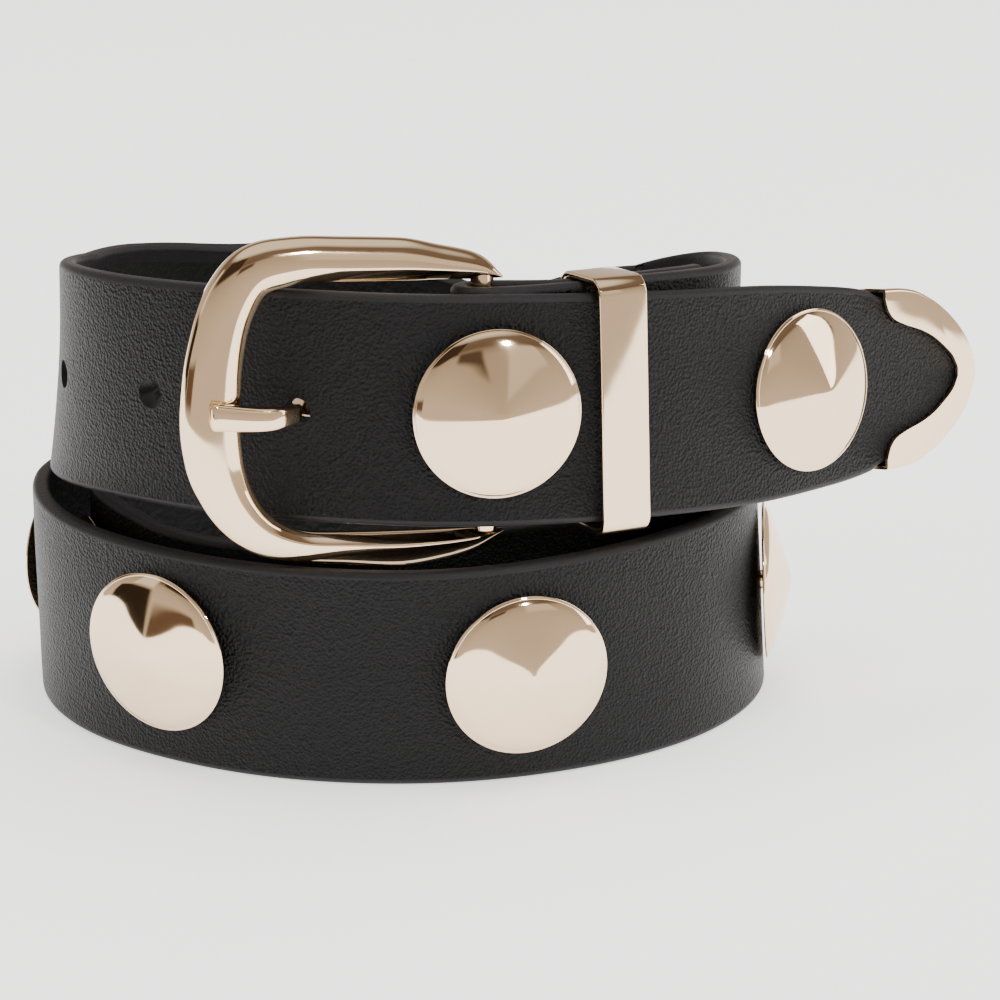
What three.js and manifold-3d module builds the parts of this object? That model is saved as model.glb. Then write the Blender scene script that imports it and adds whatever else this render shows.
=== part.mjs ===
// A studded leather belt with a horseshoe buckle, fastened, coiled three times and standing on its edge.
// Millimetres, +Z up, the buckle at the front (-Y) with the metal tip pointing right (+X).
import * as THREE from 'three';
import { mergeVertices } from 'three/addons/utils/BufferGeometryUtils.js';
import Module from 'manifold-3d';

const wasm = await Module();
wasm.setup();

// Strap
const strapWidth = 38;
const strapThickness = 3;
const edgeBevel = 0.6;
const pieceGap = 0.3;
const foldLength = 44;

// Coil: half sizes in plan of the outer face of the outermost turn, at the floor
const coilHalfWidth = 64.6;
const coilHalfDepth = 53.5;
const turnCount = 3;
const barTurn = 15;
const turnStep = 2;
const meshStride = 4;
const foldSides = 8;
const settleLift = 0.15;

// Free end, from the bar to the point of the leather
const tailLength = 104;
const tailStep = 2.2;
const tailStride = 2;
const tailStraight = 24;
const tailBend = 31.5;
const tailDroop = 9.55;
const tailLean = -8.5;
const droopEase = 1.25;

// Studs
const studRadius = 13.9;
const studHeight = 4.8;
const studRim = 0.9;
const studStandoff = 0.65;
const studPostRadius = 1.7;
const studSides = 16;
const postSides = 10;
const tipStudPlace = 42;
const studPitch = 60.5;
const studCount = 15;
const lastStudReach = 102;

// Punched holes
const holeCount = 5;
const holePitch = 27.2;
const holeRadius = 2.4;
const holeSides = 12;
const holeReach = 32.5;
const holeToStud = 28.6;
const firstHoleDrop = 0.7;

// Buckle
const barRadius = 1.9;
const barSides = 12;
const frameReach = 41.1;
const frameOpening = 42;
const frameStroke = 9.4;
const frameThickness = 4.6;
const frameRise = 0.4;
const frameStandoff = 4;
const frameSteps = 40;
const barSeat = 0.9;

// Prong
const prongWidth = 4.5;
const prongNeck = 3;
const prongThickness = 2;
const prongOverhang = 5.4;
const prongRing = 1.4;
const prongRise = 1.15;
const eyeSides = 20;

// Keeper
const keeperReach = 21.5;
const keeperBand = 8.7;
const keeperWall = 1;
const keeperCorner = 3;
const keeperTilt = 3.7;
const keeperSlack = 1.3;
const keeperRise = 0.5;

// Metal tip
const capLength = 24.8;
const capShare = 0.829;
const capWall = 0.6;
const capBackExtra = 2.4;
const capBeyond = 3;

// One layer of strap, and the room one stud takes between two layers.
const layerRoom = strapThickness + pieceGap;
const domeRoom = studStandoff + studHeight + pieceGap;

// The coil's route, a row for each section: the turn in degrees from the front, counter-clockwise seen
// from above; how many layers and stud domes lie outside it; the height of its lower edge as a share
// of the strap's width; and how far its top leans outward, in degrees.
const coilRows = [
  { turn: 15, layers: 1.28, domes: 0, lift: 1.157, lean: -4.8 },
  { turn: 36, layers: 1.2, domes: 0, lift: 1.15, lean: -4.8 },
  { turn: 62, layers: 1.15, domes: 0, lift: 1.103, lean: -1.5 },
  { turn: 90, layers: 2.4, domes: 0, lift: 1.02, lean: 1.5 },
  { turn: 98, layers: 3.0, domes: 0, lift: 0.975, lean: 1 },
  { turn: 105, layers: 3.7, domes: 0, lift: 0.925, lean: -2 },
  { turn: 120, layers: 5.25, domes: 0, lift: 0.86, lean: 0 },
  { turn: 135, layers: 6.85, domes: 0, lift: 0.75, lean: 2 },
  { turn: 150, layers: 8.3, domes: 0, lift: 0.63, lean: 0 },
  { turn: 180, layers: 9.7, domes: 0, lift: 0.4, lean: -3 },
  { turn: 210, layers: 8.5, domes: 0, lift: 0.2, lean: -3 },
  { turn: 240, layers: 5.5, domes: 0, lift: 0.05, lean: -1 },
  { turn: 264, layers: 3.5, domes: 0, lift: 0, lean: 0 },
  { turn: 292, layers: 1, domes: 1.2, lift: 0, lean: 0 },
  { turn: 304, layers: 1, domes: 1.1, lift: 0, lean: 0 },
  { turn: 316, layers: 1, domes: 0.95, lift: 0, lean: 2 },
  { turn: 327, layers: 1.05, domes: 0.9, lift: 0, lean: 3 },
  { turn: 337, layers: 1, domes: 1.1, lift: 0, lean: 3 },
  { turn: 348, layers: 1, domes: 1.55, lift: 0, lean: 3 },
  { turn: 360, layers: 1, domes: 2.05, lift: 0, lean: 2 },
  { turn: 372, layers: 1, domes: 2.45, lift: 0, lean: 1.5 },
  { turn: 385, layers: 1, domes: 2.6, lift: 0, lean: 1 },
  { turn: 412, layers: 1, domes: 2, lift: 0, lean: 0 },
  { turn: 430, layers: 1, domes: 1.2, lift: 0, lean: 0 },
  { turn: 452, layers: 1, domes: 0.5, lift: 0, lean: 0 },
  { turn: 465, layers: 1, domes: 0.7, lift: 0, lean: 0 },
  { turn: 474, layers: 1, domes: 1.05, lift: 0, lean: 0 },
  { turn: 485, layers: 1, domes: 1.6, lift: 0, lean: 0 },
  { turn: 495, layers: 1, domes: 1.75, lift: 0, lean: 0 },
  { turn: 515, layers: 1, domes: 1.65, lift: 0, lean: 0 },
  { turn: 540, layers: 1, domes: 1.2, lift: 0, lean: 0 },
  { turn: 580, layers: 0.9, domes: 0.6, lift: 0, lean: 0 },
  { turn: 606, layers: 0.5, domes: 0.15, lift: 0, lean: 0 },
  { turn: 630, layers: 0.16, domes: 0, lift: 0, lean: 0.7 },
  { turn: 675, layers: 0.18, domes: 0, lift: 0, lean: 3 },
  { turn: 720, layers: -0.06, domes: 0, lift: 0, lean: 5.1 },
  { turn: 765, layers: 0.25, domes: 0, lift: 0, lean: -0.6 },
  { turn: 810, layers: 0.1, domes: 0, lift: 0, lean: -3.3 },
  { turn: 832, layers: 0, domes: 0, lift: 0.06, lean: -6 },
  { turn: 860, layers: 0, domes: 0, lift: 0.35, lean: -12 },
  { turn: 890, layers: 0, domes: 0, lift: 0.68, lean: -20 },
  { turn: 915, layers: 0.05, domes: 0, lift: 0.94, lean: -27 },
  { turn: 935, layers: 0.02, domes: 0, lift: 1.013, lean: -26 },
  { turn: 962, layers: 0.2, domes: 0, lift: 1.02, lean: -17.5 },
  { turn: 990, layers: 0.92, domes: 0, lift: 1.046, lean: -9.7 },
  { turn: 1035, layers: 0.8, domes: 0, lift: 1.148, lean: 0.6 },
  { turn: 1065, layers: 0.19, domes: 0, lift: 1.178, lean: -2.4 },
  { turn: 1095, layers: 0.19, domes: 0, lift: 1.152, lean: -4.2 },
];

// How the free end narrows: share of its length from the bar, and share of the strap's width there.
const tailRows = [
  { run: 0, width: 1 },
  { run: 0.45, width: 0.975 },
  { run: 0.66, width: 0.905 },
  { run: 0.765, width: 0.828 },
  { run: 0.785, width: 0.776 },
  { run: 0.85, width: 0.72 },
  { run: 0.88, width: 0.665 },
  { run: 0.93, width: 0.555 },
  { run: 0.97, width: 0.4 },
  { run: 1, width: 0.2 },
];

// Studs set by hand after the first one beyond the punched holes: each row's distance from the stud
// before it as a share of the stud pitch, and its height above the strap's middle as a share of the
// strap's width.
const studPlaceRows = [
  { spacing: 0.94, rise: 0 },
  { spacing: 0.94, rise: 0 },
  { spacing: 1.118, rise: 0 },
  { spacing: 1.05, rise: 0.028 },
  { spacing: 1.13, rise: 0 },
];

// The stud's rounded cone, from its rim to its middle: share of its radius, and share of its height
// above the rim.
const studRows = [
  { radius: 1, height: 0 },
  { radius: 0.82, height: 0.385 },
  { radius: 0.42, height: 0.828 },
  { radius: 0, height: 1 },
];

// The buckle's opening, from the bar's upper end round to its lower end: share of the frame's reach,
// share of half its opening, and the frame's stroke there as a share of its widest stroke.
const frameRows = [
  { reach: -0.07, rise: 0.94, stroke: 0.09 },
  { reach: -0.03, rise: 0.94, stroke: 0.3 },
  { reach: 0.03, rise: 0.942, stroke: 0.45 },
  { reach: 0.17, rise: 0.955, stroke: 0.58 },
  { reach: 0.34, rise: 0.965, stroke: 0.72 },
  { reach: 0.58, rise: 0.985, stroke: 0.75 },
  { reach: 0.7, rise: 0.995, stroke: 0.765 },
  { reach: 0.8, rise: 0.97, stroke: 0.82 },
  { reach: 0.872, rise: 0.935, stroke: 0.85 },
  { reach: 0.93, rise: 0.775, stroke: 0.905 },
  { reach: 0.965, rise: 0.58, stroke: 0.92 },
  { reach: 0.99, rise: 0.28, stroke: 0.97 },
  { reach: 1, rise: -0.06, stroke: 1 },
  { reach: 0.993, rise: -0.32, stroke: 0.97 },
  { reach: 0.965, rise: -0.55, stroke: 0.88 },
  { reach: 0.9, rise: -0.77, stroke: 0.76 },
  { reach: 0.83, rise: -0.88, stroke: 0.65 },
  { reach: 0.72, rise: -0.96, stroke: 0.54 },
  { reach: 0.58, rise: -0.985, stroke: 0.56 },
  { reach: 0.36, rise: -1.01, stroke: 0.62 },
  { reach: 0.17, rise: -1.025, stroke: 0.52 },
  { reach: 0.05, rise: -1.03, stroke: 0.38 },
  { reach: -0.03, rise: -1.032, stroke: 0.17 },
  { reach: -0.06, rise: -1.032, stroke: 0.07 },
];

// The frame's section: share of the stroke from the inner edge, and share of its thickness.
const frameSection = [
  { across: 0, depth: -0.5 },
  { across: 1, depth: -0.5 },
  { across: 1, depth: -0.05 },
  { across: 0.72, depth: 0.38 },
  { across: 0.28, depth: 0.5 },
  { across: 0, depth: 0.2 },
];

// The metal tip's outline, from its open end to its point: share of its length, share of half its height.
const capRows = [
  { run: 0, half: 1 },
  { run: 0.12, half: 0.998 },
  { run: 0.29, half: 0.97 },
  { run: 0.51, half: 0.85 },
  { run: 0.71, half: 0.665 },
  { run: 0.867, half: 0.445 },
  { run: 0.963, half: 0.22 },
  { run: 1, half: 0.06 },
];

// The scalloped opening in the metal tip's front, read the same way.
const scallopRows = [
  { run: 0, half: 0.885 },
  { run: 0.033, half: 0.76 },
  { run: 0.09, half: 0.665 },
  { run: 0.22, half: 0.585 },
  { run: 0.38, half: 0.515 },
  { run: 0.52, half: 0.425 },
  { run: 0.65, half: 0.295 },
  { run: 0.74, half: 0.18 },
  { run: 0.79, half: 0.05 },
];

const up = new THREE.Vector3(0, 0, 1);
const radians = THREE.MathUtils.degToRad;
const tailTurn = barTurn + 360 * turnCount;
const capHeight = capShare * strapWidth;

// Reads a column of a table at a place along it, smoothly and without overshoot.
function readTable(rows, key, column, place) {
  const last = rows.length - 1;
  const step = (i) => rows[i + 1][key] - rows[i][key];
  const slope = (i) => (rows[i + 1][column] - rows[i][column]) / step(i);
  const tangent = (i) => {
    if (i === 0) return slope(0);
    if (i === last) return slope(last - 1);
    const product = slope(i - 1) * slope(i);
    return product > 0 ? (2 * product) / (slope(i - 1) + slope(i)) : 0;
  };
  const held = THREE.MathUtils.clamp(place, rows[0][key], rows[last][key]);
  const found = rows.findIndex((row, i) => i < last && held <= rows[i + 1][key]);
  const t = (held - rows[found][key]) / step(found);
  const rise = t * t * (3 - 2 * t);
  const start = t * (1 - t) * (1 - t) * step(found) * tangent(found);
  const end = t * t * (t - 1) * step(found) * tangent(found + 1);
  return rows[found][column] * (1 - rise) + rows[found + 1][column] * rise + start + end;
}

// The strap's lower outer edge at a turn of the coil.
function coilPoint(turn) {
  const angle = radians(turn);
  const read = (column) => readTable(coilRows, 'turn', column, turn);
  const normal = new THREE.Vector3(coilHalfDepth * Math.sin(angle), -coilHalfWidth * Math.cos(angle), 0);
  const inset = read('layers') * layerRoom + read('domes') * domeRoom;
  return new THREE.Vector3(coilHalfWidth * Math.sin(angle), -coilHalfDepth * Math.cos(angle), 0)
    .addScaledVector(normal.normalize(), -inset)
    .setZ(read('lift') * strapWidth);
}

// A station of the strap: the point on its lower outer edge, the direction across its width, and the
// direction out of its face. Where it stands on the floor its edges are level, so it rests flat.
function station(point, along, lean, width, level) {
  const side = new THREE.Vector3().crossVectors(along, up).normalize();
  const rise = new THREE.Vector3().crossVectors(side, along);
  const across = rise.clone().multiplyScalar(Math.cos(lean)).addScaledVector(side, Math.sin(lean));
  const square = side.clone().multiplyScalar(Math.cos(lean)).addScaledVector(rise, -Math.sin(lean));
  const out = square.multiplyScalar(1 - level).addScaledVector(side, level / Math.cos(lean));
  return { point, along, across, out, width };
}

// The three turns of the coil, from the bar to where the free end leaves it.
function coilStations() {
  const stations = [];
  for (let turn = barTurn; turn <= tailTurn; turn += turnStep) {
    const point = coilPoint(turn);
    const along = coilPoint(turn + turnStep / 2).sub(coilPoint(turn - turnStep / 2));
    const lean = radians(readTable(coilRows, 'turn', 'lean', turn));
    const level = 1 - THREE.MathUtils.smoothstep(point.z / strapWidth, 0, settleLift);
    stations.push(station(point, along.normalize(), lean, strapWidth, level));
  }
  return stations;
}

// The free end: its bend eases to nothing, its last stretch is straight, and it narrows and droops.
function tailStations(last) {
  const stations = [];
  const bent = tailLength - tailStraight;
  const count = Math.round(tailLength / tailStep);
  const step = tailLength / count;
  const startLean = readTable(coilRows, 'turn', 'lean', tailTurn);
  const held = (run) => Math.min(run / bent, 1);
  const heading = (run) => Math.atan2(last.along.y, last.along.x)
    + radians(tailBend) * (1 - (1 - held(run)) ** 2);
  const sink = (run) => tailDroop * (run / tailLength) ** droopEase;
  let plan = last.point.clone();
  for (let i = 1; i <= count; i += 1) {
    const run = i * step;
    const middle = heading(run - step / 2);
    plan = plan.clone().add(new THREE.Vector3(Math.cos(middle), Math.sin(middle), 0).multiplyScalar(step));
    const width = strapWidth * readTable(tailRows, 'run', 'width', run / tailLength);
    const slope = (sink(run + 1) - sink(run - 1)) / 2;
    const along = new THREE.Vector3(Math.cos(heading(run)), Math.sin(heading(run)), -slope).normalize();
    const lean = radians(THREE.MathUtils.lerp(startLean, tailLean, held(run) ** 2));
    const edge = station(plan.clone().setZ(last.point.z - sink(run)), along, lean, width, 0);
    edge.point.addScaledVector(edge.across, (strapWidth - width) / 2);
    stations.push(edge);
  }
  return stations;
}

// The strap's end folded round the bar: its inner layer, then the bend, up to the coil's first station.
function foldStations(coil) {
  const first = coil[0];
  const bend = barRadius + pieceGap + strapThickness;
  const stations = [];
  const keeperStart = keeperReach - keeperBand / 2;
  let run = 0;
  for (let i = 1; run < foldLength; i += 1) {
    run += coil[i].point.distanceTo(coil[i - 1].point);
    const spread = 1 - THREE.MathUtils.smoothstep(run, 0, keeperStart);
    const depth = THREE.MathUtils.lerp(2 * strapThickness + pieceGap, 2 * bend, spread);
    const { point, along, across, out, width } = coil[i];
    stations.unshift({
      point: point.clone().addScaledVector(out, -depth),
      along: along.clone().negate(),
      across,
      out: out.clone().negate(),
      width,
    });
  }
  const centre = first.point.clone().addScaledVector(first.out, -bend);
  for (let i = 0; i < foldSides; i += 1) {
    const angle = Math.PI * (1 - i / foldSides);
    const [cos, sin] = [Math.cos(angle), Math.sin(angle)];
    const out = first.out.clone().multiplyScalar(cos).addScaledVector(first.along, -sin);
    const along = first.along.clone().multiplyScalar(cos).addScaledVector(first.out, sin);
    const point = centre.clone().addScaledVector(out, bend);
    stations.push({ point, along, across: first.across, out, width: first.width, bend: true });
  }
  return stations;
}

const coil = coilStations();
const tail = tailStations(coil[coil.length - 1]);
const fold = foldStations(coil);
const visible = [...coil, ...tail];

// The middle of the strap's outer face at each station, with its distance back from the leather's point.
const middles = visible.map((s) => s.point.clone().addScaledVector(s.across, s.width / 2));
const places = middles.map(() => 0);
for (let i = middles.length - 2; i >= 0; i -= 1) {
  places[i] = places[i + 1] + middles[i].distanceTo(middles[i + 1]);
}

// Places measured from the bar.
const barPlace = places[coil.length - 1];
const keeperPlace = barPlace - keeperReach;
const firstHolePlace = barPlace + holeReach;

// The frame of axes on the strap's outer face at a distance back from the leather's point.
function strapAt(place) {
  const after = places.findIndex((value) => value <= place);
  const i = Math.max(after - 1, 0);
  const t = (places[i] - place) / (places[i] - places[i + 1]);
  const mix = (name) => visible[i][name].clone().lerp(visible[i + 1][name], t).normalize();
  const along = mix('along');
  const across = mix('across');
  const out = new THREE.Vector3().crossVectors(along, across).normalize();
  return { point: middles[i].clone().lerp(middles[i + 1], t), along, across, out };
}

// A matrix from local axes (x along the strap, y across it, z out of it) to the coil.
function seat(frame, depth = 0, rise = 0) {
  const origin = frame.point.clone().addScaledVector(frame.out, depth).addScaledVector(frame.across, rise);
  return new THREE.Matrix4().makeBasis(frame.along, frame.across, frame.out).setPosition(origin);
}

// A closed body through equal loops of points, each listed counter-clockwise seen from the start.
function loft(loops) {
  const count = loops[0].length;
  const index = [];
  for (let i = 0; i < loops.length - 1; i += 1) {
    for (let j = 0; j < count; j += 1) {
      const a = i * count + j;
      const b = i * count + ((j + 1) % count);
      index.push(a, a + count, b + count, a, b + count, b);
    }
  }
  const end = (loops.length - 1) * count;
  for (let j = 1; j < count - 1; j += 1) {
    index.push(0, j, j + 1, end, end + j + 1, end + j);
  }
  const geometry = new THREE.BufferGeometry();
  const numbers = loops.flat().flatMap((point) => point.toArray());
  geometry.setAttribute('position', new THREE.Float32BufferAttribute(numbers, 3));
  geometry.setIndex(index);
  return geometry;
}

function toSolid(geometry) {
  const bare = geometry.clone();
  bare.deleteAttribute('normal');
  bare.deleteAttribute('uv');
  const merged = mergeVertices(bare, 1e-4);
  const vertProperties = new Float32Array(merged.attributes.position.array);
  const triVerts = new Uint32Array(merged.index.array);
  return new wasm.Manifold(new wasm.Mesh({ numProp: 3, vertProperties, triVerts }));
}

function toGeometry(solid) {
  const mesh = solid.getMesh();
  const geometry = new THREE.BufferGeometry();
  geometry.setAttribute('position', new THREE.BufferAttribute(mesh.vertProperties.slice(), 3));
  geometry.setIndex(new THREE.BufferAttribute(mesh.triVerts.slice(), 1));
  geometry.computeVertexNormals();
  return geometry;
}

// A round pin along z between two heights.
function pin(radius, bottom, top, sides) {
  return new THREE.CylinderGeometry(radius, radius, top - bottom, sides)
    .rotateX(Math.PI / 2)
    .translate(0, 0, (top + bottom) / 2);
}

const leather = { color: 0x1b1b1d, roughness: 0.55, metalness: 0 };
const gold = { color: 0xd9bf9a, roughness: 0.12, metalness: 1 };
const belt = new THREE.Group();

function addPiece(name, geometry, finish) {
  const mesh = new THREE.Mesh(geometry, new THREE.MeshStandardMaterial(finish));
  mesh.name = name;
  belt.add(mesh);
}

// Distances of the studs back from the leather's point: the tip's stud, the bar's, the hand-set ones after
// the last hole, and the rest evenly spaced up to the last one before the bar.
function studPlaces() {
  const studs = [{ place: tipStudPlace, rise: 0 }, { place: barPlace, rise: 0 }];
  let place = firstHolePlace + (holeCount - 1) * holePitch + holeToStud;
  studs.push({ place, rise: 0 });
  for (const row of studPlaceRows) {
    place += row.spacing * studPitch;
    studs.push({ place, rise: row.rise * strapWidth });
  }
  const rest = studCount - studs.length;
  const spacing = (places[0] - lastStudReach - place) / rest;
  for (let i = 1; i <= rest; i += 1) {
    studs.push({ place: place + i * spacing, rise: 0 });
  }
  return studs;
}

const studs = studPlaces();

// The leather's section at a station, square with bevelled edges.
function strapSection({ point, across, out, width }) {
  const t = strapThickness;
  const e = edgeBevel;
  const outerCorners = [[-e, 0], [0, e], [0, width - e], [-e, width]];
  const innerCorners = [[e - t, width], [-t, width - e], [-t, e], [e - t, 0]];
  const corners = [...outerCorners, ...innerCorners];
  return corners.map(([depth, rise]) => point.clone()
    .addScaledVector(out, depth)
    .addScaledVector(across, rise));
}

// The prong's slot goes right round the bend, so it is a block over the fold.
function prongSlot(bar) {
  const bend = barRadius + pieceGap + strapThickness;
  const slotReach = bend + pieceGap;
  const slotHeight = prongWidth + 4 * pieceGap;
  return new THREE.BoxGeometry(2 * slotReach, slotHeight, 2 * bend + pieceGap).applyMatrix4(bar);
}

function makeStrap(bar) {
  const body = [
    ...fold.filter((s, i) => s.bend || (fold.length - i) % meshStride === 0),
    ...coil.filter((s, i) => i % meshStride === 0),
    ...tail.filter((s, i) => (tail.length - 1 - i) % tailStride === 0),
  ];
  let solid = toSolid(loft(body.map(strapSection)));
  const margin = pieceGap / 2;
  const cut = (radius, sides, place, rise) => {
    const cutter = pin(radius, -strapThickness - margin, margin, sides);
    solid = solid.subtract(toSolid(cutter.applyMatrix4(seat(strapAt(place), 0, rise))));
  };
  for (const stud of studs) {
    cut(studPostRadius + pieceGap, postSides, stud.place, stud.rise);
  }
  for (let i = 0; i < holeCount; i += 1) {
    cut(holeRadius, holeSides, firstHolePlace + i * holePitch, i === 0 ? -firstHoleDrop : 0);
  }
  solid = solid.subtract(toSolid(prongSlot(bar)));
  addPiece('strap', toGeometry(solid), leather);
}

// A stud: a shallow rounded cone with a thin rim, and its post, turned as one.
function makeStud(stud, number) {
  const points = [
    new THREE.Vector2(0, -strapThickness),
    new THREE.Vector2(studPostRadius, -strapThickness),
    new THREE.Vector2(studPostRadius, studStandoff),
    new THREE.Vector2(studRadius, studStandoff),
    ...studRows.map((row) => new THREE.Vector2(
      row.radius * studRadius,
      studStandoff + studRim + row.height * (studHeight - studRim),
    )),
  ];
  const body = new THREE.LatheGeometry(points, studSides).rotateX(Math.PI / 2);
  const placed = body.applyMatrix4(seat(strapAt(stud.place), 0, stud.rise));
  addPiece(`stud_${String(number).padStart(2, '0')}`, toGeometry(toSolid(placed)), gold);
}

// The buckle's axes: its origin on the bar's centre, x towards the tip, y up the bar, z outward.
function buckleSeat() {
  const first = coil[0];
  const middle = first.point.clone().addScaledVector(first.across, first.width / 2);
  const centre = middle.addScaledVector(first.out, -(strapThickness + pieceGap + barRadius));
  const far = strapAt(barPlace + frameReach);
  const left = far.point.clone().addScaledVector(far.out, frameStandoff + frameThickness / 2);
  const along = centre.clone().sub(left);
  along.addScaledVector(first.across, -along.dot(first.across)).normalize();
  const out = new THREE.Vector3().crossVectors(along, first.across).normalize();
  return { point: centre, along, across: first.across, out };
}

const buckle = buckleSeat();
const barMatrix = seat(buckle);

function frameLoops() {
  const nudge = 1 / (4 * frameSteps);
  const rows = frameRows.map((row, i) => ({ ...row, step: i / (frameRows.length - 1) }));
  const inner = (s) => new THREE.Vector2(
    -frameReach * readTable(rows, 'step', 'reach', s),
    frameRise + (frameOpening / 2) * readTable(rows, 'step', 'rise', s),
  );
  const loops = [];
  for (let i = 0; i <= frameSteps; i += 1) {
    const s = i / frameSteps;
    const along = inner(Math.min(s + nudge, 1)).sub(inner(Math.max(s - nudge, 0))).normalize();
    const stroke = frameStroke * readTable(rows, 'step', 'stroke', s);
    const point = inner(s);
    loops.push(frameSection.map(({ across, depth }) => new THREE.Vector3(
      point.x + along.y * across * stroke,
      point.y - along.x * across * stroke,
      depth * frameThickness,
    )));
  }
  return loops;
}

function makeFrame() {
  const hoop = toSolid(loft(frameLoops()));
  const half = frameOpening / 2 + barSeat;
  const bar = new THREE.CylinderGeometry(barRadius, barRadius, 2 * half, barSides).translate(0, frameRise, 0);
  const solid = hoop.add(toSolid(bar));
  addPiece('buckle_frame', toGeometry(solid.transform(barMatrix.elements)), gold);
}

function makeKeeper() {
  const layers = 3 * strapThickness + 2 * pieceGap;
  const innerDepth = layers + 2 * keeperSlack;
  const innerHeight = strapWidth + 2 * keeperSlack;
  const loop = (height, depth, corner) => {
    const shape = new THREE.Shape();
    const path = new THREE.Path();
    [shape, path].forEach((p) => {
      p.moveTo(-depth / 2 + corner, -height / 2);
      p.lineTo(depth / 2 - corner, -height / 2);
      p.quadraticCurveTo(depth / 2, -height / 2, depth / 2, -height / 2 + corner);
      p.lineTo(depth / 2, height / 2 - corner);
      p.quadraticCurveTo(depth / 2, height / 2, depth / 2 - corner, height / 2);
      p.lineTo(-depth / 2 + corner, height / 2);
      p.quadraticCurveTo(-depth / 2, height / 2, -depth / 2, height / 2 - corner);
      p.lineTo(-depth / 2, -height / 2 + corner);
      p.quadraticCurveTo(-depth / 2, -height / 2, -depth / 2 + corner, -height / 2);
    });
    return { shape, path };
  };
  const outer = loop(innerHeight + 2 * keeperWall, innerDepth + 2 * keeperWall, keeperCorner).shape;
  outer.holes.push(loop(innerHeight, innerDepth, keeperCorner - keeperWall).path);
  const band = new THREE.ExtrudeGeometry(outer, { depth: keeperBand, bevelEnabled: false, curveSegments: 4 })
    .translate(0, 0, -keeperBand / 2)
    .rotateY(Math.PI / 2)
    .translate(0, 0, keeperSlack - innerDepth / 2)
    .rotateZ(radians(keeperTilt))
    .applyMatrix4(seat(strapAt(keeperPlace), 0, keeperRise));
  addPiece('keeper', toGeometry(toSolid(band)), gold);
}

// The prong's path and widths: from its eye, behind the free end, out through the first hole and over
// the frame to its end.
function prongPath() {
  const toBuckle = barMatrix.clone().invert();
  const hole = strapAt(firstHolePlace);
  const half = prongThickness / 2;
  const middle = hole.point.clone().addScaledVector(hole.across, -firstHoleDrop);
  const level = (depth) => middle.clone().addScaledVector(hole.out, depth).applyMatrix4(toBuckle);
  const inner = level(-strapThickness - pieceGap - half);
  const outer = level(pieceGap + half);
  const rest = frameThickness / 2 + pieceGap + half;
  const eye = barRadius + pieceGap + prongRing / 2;
  return [
    { point: new THREE.Vector3(-eye, 0, 0), width: prongWidth },
    { point: inner.clone().setX(-2 * eye).lerp(new THREE.Vector3(-2 * eye, 0, 0), 0.75), width: prongWidth },
    { point: inner.clone().setX(inner.x + prongWidth), width: prongWidth },
    { point: inner, width: prongNeck },
    { point: outer, width: prongNeck },
    { point: outer.clone().setX(outer.x - prongNeck).setZ((outer.z + rest) / 2), width: prongWidth },
    { point: new THREE.Vector3(-frameReach, prongRise, rest), width: prongWidth },
    { point: new THREE.Vector3(-frameReach - prongOverhang, prongRise, rest), width: prongWidth },
  ];
}

function makeProng() {
  const path = prongPath();
  const loops = path.map(({ point, width }, i) => {
    const run = path[Math.min(i + 1, path.length - 1)].point.clone().sub(path[Math.max(i - 1, 0)].point);
    const rise = new THREE.Vector3(run.z, 0, -run.x).setLength(prongThickness / 2);
    const side = new THREE.Vector3(0, width / 2, 0);
    return [
      point.clone().add(rise).add(side),
      point.clone().add(rise).sub(side),
      point.clone().sub(rise).sub(side),
      point.clone().sub(rise).add(side),
    ];
  });
  const innerRadius = barRadius + pieceGap;
  const round = (radius, half) => toSolid(pin(radius, -half, half, eyeSides).rotateX(Math.PI / 2));
  const solid = round(innerRadius + prongRing, prongWidth / 2)
    .add(toSolid(loft(loops)))
    .subtract(round(innerRadius, prongWidth));
  addPiece('prong', toGeometry(solid.transform(barMatrix.elements)), gold);
}

// A symmetrical outline of the metal tip, from its open end to its point and back, moved in by an inset.
function outline(rows, inset) {
  const points = rows.map(({ run, half }) => new THREE.Vector2(run * capLength, (half * capHeight) / 2));
  const moved = points.map((point, i) => {
    const from = points[Math.max(i - 1, 0)];
    const to = points[Math.min(i + 1, points.length - 1)];
    const run = to.clone().sub(from).normalize();
    return new THREE.Vector2(point.x + run.y * inset, point.y - run.x * inset);
  });
  const below = moved.map((point) => new THREE.Vector2(point.x, -point.y));
  return [...below, ...moved.reverse()];
}

function makeCap() {
  const room = strapThickness + 2 * pieceGap;
  const slab = (points, depth, level) => toSolid(
    new THREE.ExtrudeGeometry(new THREE.Shape(points), { depth, bevelEnabled: false }).translate(0, 0, level),
  );
  const mouth = (points) => {
    const ends = [points[0], points[points.length - 1]].map((p) => new THREE.Vector2(-capWall, p.y));
    return [ends[0], ...points, ends[1]];
  };
  const back = -strapThickness - pieceGap - capWall;
  const half = capHeight / 2;
  const plate = [[-capBackExtra, -half], [capWall, -half], [capWall, half], [-capBackExtra, half]]
    .map(([x, y]) => new THREE.Vector2(x, y));
  const solid = slab(outline(capRows, 0), room + 2 * capWall, back)
    .subtract(slab(mouth(outline(capRows, capWall)), room, back + capWall))
    .subtract(slab(mouth(outline(scallopRows, 0)), room, 0))
    .add(slab(plate, capWall, back));
  const seatHere = seat(strapAt(capLength - capBeyond));
  addPiece('tip_cap', toGeometry(solid.transform(seatHere.elements)), gold);
}

makeStrap(barMatrix);
makeFrame();
makeProng();
makeKeeper();
makeCap();
studs.forEach((stud, i) => makeStud(stud, i + 1));

// The origin goes to the middle of the belt's footprint, on the floor.
const bounds = new THREE.Box3().setFromObject(belt);
const middlePoint = bounds.getCenter(new THREE.Vector3()).setZ(bounds.min.z);
belt.children.forEach((mesh) => mesh.geometry.translate(-middlePoint.x, -middlePoint.y, -middlePoint.z));

export default belt;
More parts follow.
